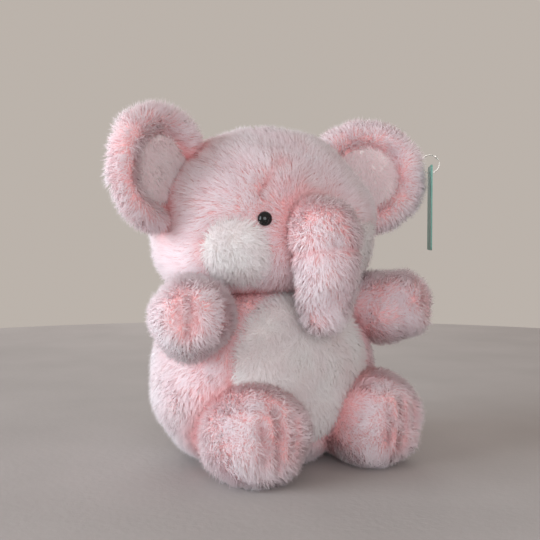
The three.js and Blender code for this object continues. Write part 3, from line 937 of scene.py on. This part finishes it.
for name, side in sides.items():
    place = np.array([side * ear_x, 0, ear_z])
    points, faces = dish(ear_profile, side, place, ear_around)
    out = np.concatenate([np.repeat(ear_profile[:, 0], ear_around), [0, 0]])
    back = np.concatenate([np.repeat(ear_profile[:, 1], ear_around), ear_profile[[0, -1], 1]])
    normals = normals_of(points, faces)
    points = points + normals * (0.7 * soft_noise(points, 26, 13)[:, :1])
    points, edge_seam = crease(points, normals, np.where(out > 35, np.abs(back), 9.0), 0.9, 1.8)
    in_head = depth_in_round(head_form, points)
    outward = (points - place) * [1, 0.4, 1]
    patch_seam = np.exp(-(((out - 22) / 2.5) ** 2)) * (back < 2)
    ear_cloth = {
        "points": points,
        "faces": faces,
        # Painted shade in the rim and patch seams and round the join with the head, where the pile also
        # parts.
        "parts_and_shade": np.clip(0.35 * edge_seam + 0.5 * patch_seam + 0.75 * np.exp(-((in_head / 5) ** 2)), 0, 1),
        "lie": outward / 40 + [0, 0, -0.2],
        "grows": (in_head < 8) * ~((out < 21.5) & (back < 2.5)),
    }
    ear = mesh_piece(f"ear_{name}_cloth", points, faces, pink_knit)
    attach(ear, f"ear_{name}")
    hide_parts(f"ear_{name}_skin")
    pile(
        f"ear_{name}_pile", ear_cloth, f"ear_{name}", **pink_fibre,
        density=1.9, length=8, lean=0.82, seed=61,
    )

    points, faces = dish(patch_profile, side, place, ear_around)
    on_front = np.concatenate([np.repeat(patch_profile[:, 1] < 0.3, ear_around), [False, True]])
    patch_cloth = {
        "points": points,
        "faces": faces,
        "parts_and_shade": np.zeros(len(points)),
        "lie": (points - place) / 30 + [0, 0, -0.8],
        "grows": on_front * (depth_in_round(head_form, points) < 8),
    }
    patch = mesh_piece(f"ear_{name}_patch_cloth", points, faces, white_knit)
    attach(patch, f"ear_{name}")
    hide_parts(f"ear_{name}_patch")
    pile(
        f"ear_{name}_patch_pile", patch_cloth, f"ear_{name}", slot="white_plush", material=white_pile_painted_pink_shade,
        density=2.2, length=6.5, lean=1.0, seed=62, wisps=0.05,
    )
    inner = ear_profile * [0.94, 1.0]
    inner[:, 1] = 2.4 + (inner[:, 1] - 2.4) * 0.55
    filling(f"ear_{name}_filling", *dish(inner, side, place, 48), f"ear_{name}", f"ear_{name}_padding")


# ---- The arms: two stubs held forward, each gathered at the end of its paw ----
# Tubes of plush with a seam down the end of the paw, where the cloth is gathered into a slit.
# They are sewn to the shoulders and lean outwards.
arm_turn = math.radians(33)


def arm_creases(points, reach, middle):
    """A slit down the end of the paw, with a short pucker on each side of it."""
    tip = middle[-1]
    side = math.copysign(1, tip[0])
    sideways = (points - tip) @ np.array([math.cos(arm_turn), side * math.sin(arm_turn), 0])
    at_end = np.where(reach > 0.75, 0.0, 30.0)
    height = np.abs(points[:, 2] - tip[2])
    pucker = np.abs(sideways - 4.5) + np.maximum(height - 7, 0) + at_end
    return [
        (np.abs(sideways) + np.maximum(height - 12, 0) + at_end, 3.2, 2.4),
        (pucker, 1.6, 2.2),
        (np.abs(sideways + 6) + np.maximum(height - 6, 0) + at_end, 1.4, 2.2),
    ]


for name, side in sides.items():
    shoulder = hinge_place(f"arm_{name}_swing")
    forward = np.array([side * math.sin(arm_turn), -math.cos(arm_turn), 0])
    wrist = shoulder + forward * 24 + [0, 0, 2]
    paw_end = shoulder + forward * 60 + [0, 0, 6]
    plush_tube(
        f"arm_{name}", f"arm_{name}",
        knots=[shoulder - forward * 18.5, wrist, paw_end],
        radius_at=lambda share: 18.5 + 5.5 * np.minimum(1, share * 1.5),
        bluntness=3, creases=arm_creases, sunk_in=body_form, density=1.9, length=8.2, seed=71,
    )


# ---- The legs: two fat stubs that lie straight out on the table ----
# The foot is the widest part. Its end is one panel, gathered so that the cloth folds upright.
def leg_creases(points, reach, middle):
    """Three upright folds in the end of the foot."""
    tip = middle[-1]
    at_end = np.where(reach > 0.62, 0.0, 30.0)
    height = np.abs(points[:, 2] - tip[2] - 2)
    folds = ((-8, 2.8, 2.8, 11), (2, 4.0, 3.2, 16), (12, 3.0, 2.8, 12))
    return [
        (np.abs(points[:, 0] - tip[0] - place) + np.maximum(height - half, 0) + at_end, depth, width)
        for place, depth, width, half in folds
    ]


foot_x = {"left": 53.0, "right": -41.0}
for name, side in sides.items():
    hip = hinge_place(f"leg_{name}_lift")
    knee_x = (hip[0] + 2 * foot_x[name]) / 3
    plush_tube(
        f"leg_{name}", f"leg_{name}",
        knots=[(hip[0], hip[1] + 12, 29), (knee_x, (hip[1] - 76) / 2, 29), (foot_x[name], -76, 29)],
        radius_at=lambda share: 25 + 7 * np.minimum(1, share * 1.7),
        bluntness=2.8, creases=leg_creases, sunk_in=body_form, density=1.9, length=8.2, seed=81,
    )


# ---- The tail: a thin tube of plush that ends in a tuft ----
# Sewn into the back seam, just above the seat.
tail_root = hinge_place("tail_swing")
tail_end = tail_root + [0, 34, -16]
points, faces, _, way, _ = stuffed_tube(
    [tail_root + [0, -8, 1], tail_root + [0, 17, 0], tail_end], lambda share: 4.6 + 0 * share, 4, 0, 28, 36
)
tail_cloth = {
    "points": points,
    "faces": faces,
    # Painted shade round the join with the body, where the pile also parts.
    "parts_and_shade": 0.6 * np.exp(-((depth_in_round(body_form, points) / 4) ** 2)),
    "lie": way,
    "grows": depth_in_round(body_form, points) < 5,
}
tail = mesh_piece("tail_cloth", points, faces, pink_knit)
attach(tail, "tail")
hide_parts("tail_skin")
pile("tail_pile", tail_cloth, "tail", **pink_fibre, density=1.2, length=5.5, lean=1.0, seed=91)

tuft_form = {"centre": tail_end, "radii": np.full(3, 5.0), "power": 2.0, "pear": 0.0}
tuft_directions, tuft_faces = ball_mesh(4)
tuft_points = round_points(tuft_form, tuft_directions)
tuft_cloth = {
    "points": tuft_points,
    "faces": tuft_faces,
    "parts_and_shade": np.zeros(len(tuft_points)),
    "lie": np.tile([0, 0.4, -0.9], (len(tuft_points), 1)),
    "grows": np.ones(len(tuft_points)),
}
tuft = mesh_piece("tail_tuft_core", tuft_points, tuft_faces, pink_knit)
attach(tuft, "tail")
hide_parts("tail_tuft")
pile("tail_tuft_pile", tuft_cloth, "tail", **pink_fibre, density=3.0, length=10, lean=0.7, seed=92)


# ---- The care label: a loop of satin ribbon, low on the back beside the tail ----
# A folded ribbon. Both its ends are sewn down together at the top, so it hangs in two layers
# with a round fold at the bottom.
label_turn = math.radians(-17)
label_across = np.array([math.cos(label_turn), math.sin(label_turn), 0])
label_out = np.array([-math.sin(label_turn), math.cos(label_turn), 0])
half_fold = np.linspace(0, np.pi, 9)
run = [(27 - step * 26 / 12, 0.9 + 0.5 * math.sin(step / 2.2)) for step in range(13)]
run += [(1 - math.sin(turn), 0.9 * math.cos(turn)) for turn in half_fold[1:-1]]
run += [(1 + step * 26 / 12, -0.9 + 0.3 * math.sin(step / 2.6)) for step in range(13)]
columns = np.linspace(-10, 10, 15)
ribbon_points = np.array(
    [
        label_middle + label_across * column + label_out * (off + 0.15 * math.sin(column / 3))
        + np.array([0, 0, height - 13.5])
        for height, off in run
        for column in columns
    ]
)
wide = len(columns)
corner = (np.arange(len(run) - 1)[:, None] * wide + np.arange(wide - 1)).ravel()
ribbon_faces = np.vstack(
    [
        np.stack([corner, corner + 1, corner + wide + 1], 1),
        np.stack([corner, corner + wide + 1, corner + wide], 1),
    ]
)
satin, tree, shader = node_material("satin_ribbon")
weave = tree.nodes.new("ShaderNodeTexWave")
weave.inputs["Scale"].default_value = 900
weave.inputs["Distortion"].default_value = 1.5
tone = ramp(tree, weave.outputs["Fac"], [(0.2, (0.78, 0.77, 0.74)), (0.8, (0.88, 0.87, 0.85))])
tree.links.new(tone, shader.inputs["Base Color"])
shader.inputs["Roughness"].default_value = 0.38
shader.inputs["Sheen Weight"].default_value = 0.3
roughened(tree, shader, weave.outputs["Fac"], 0.0001)
label = mesh_piece("care_label_ribbon", ribbon_points, ribbon_faces, satin)
thick = label.modifiers.new("thickness", "SOLIDIFY")
thick.thickness = 0.25 * MM
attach(label, "torso")
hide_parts("care_label")


# ---- The hang tag: a teal card on a clear nylon loop through the rim of the left ear ----
# Thick card, dyed through and left plain. The loop is moulded nylon with a small bead where
# its ends lock. The card hangs from it and swings.
loop_low, loop_high = node_box("tag_loop")
loop_middle = (loop_low + loop_high) / 2
card_across = np.array([math.cos(math.radians(52)), math.sin(math.radians(52)), 0])
loop_plane = np.array([-card_across[1], card_across[0], 0])
turns = np.linspace(0, 2 * np.pi, 64, endpoint=False)
wire_turns = np.linspace(0, 2 * np.pi, 12, endpoint=False)
bead = 0.5 + 0.75 * np.exp(-(((turns - 0.9) / 0.16) ** 2))
spoke = np.outer(np.cos(turns), -loop_plane) + np.outer(np.sin(turns), [0, 0, 1.0])
wire = spoke[:, None] * (6.6 + bead[:, None] * np.cos(wire_turns))[:, :, None]
wire = wire + card_across * (bead[:, None] * np.sin(wire_turns))[:, :, None]
grid = np.arange(64 * 12).reshape(64, 12)
next_turn, next_wire = np.roll(grid, -1, 0), np.roll(grid, -1, 1)
both_next = np.roll(next_turn, -1, 1)
loop_faces = np.vstack(
    [
        np.stack([grid.ravel(), next_turn.ravel(), both_next.ravel()], 1),
        np.stack([grid.ravel(), both_next.ravel(), next_wire.ravel()], 1),
    ]
)
nylon, tree, shader = node_material("clear_nylon")
haze = ramp(tree, noise(tree, 700), [(0.3, (0.80, 0.79, 0.76)), (0.7, (0.90, 0.89, 0.87))])
tree.links.new(haze, shader.inputs["Base Color"])
shader.inputs["Roughness"].default_value = 0.2
shader.inputs["Transmission Weight"].default_value = 0.88
shader.inputs["IOR"].default_value = 1.5
loop = mesh_piece("tag_loop_nylon", (wire + loop_middle).reshape(-1, 3), loop_faces, nylon)
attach(loop, "ear_left")
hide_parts("tag_loop")

card, tree, shader = node_material("teal_card")
fibres = ramp(tree, noise(tree, 800, 6.0), [(0.3, (0.085, 0.245, 0.205)), (0.7, (0.135, 0.325, 0.275))])
cloudy = ramp(tree, noise(tree, 60), [(0.3, (0.88, 0.90, 0.90)), (0.7, (1.08, 1.06, 1.04))])
tree.links.new(mixed(tree, 1.0, fibres, cloudy, "MULTIPLY"), shader.inputs["Base Color"])
shader.inputs["Roughness"].default_value = 0.55
roughened(tree, shader, noise(tree, 900, 4.0), 0.0001)
hang_tag = frame["nodes"]["hang_tag"]
hang_tag.data.materials.clear()
hang_tag.data.materials.append(card)
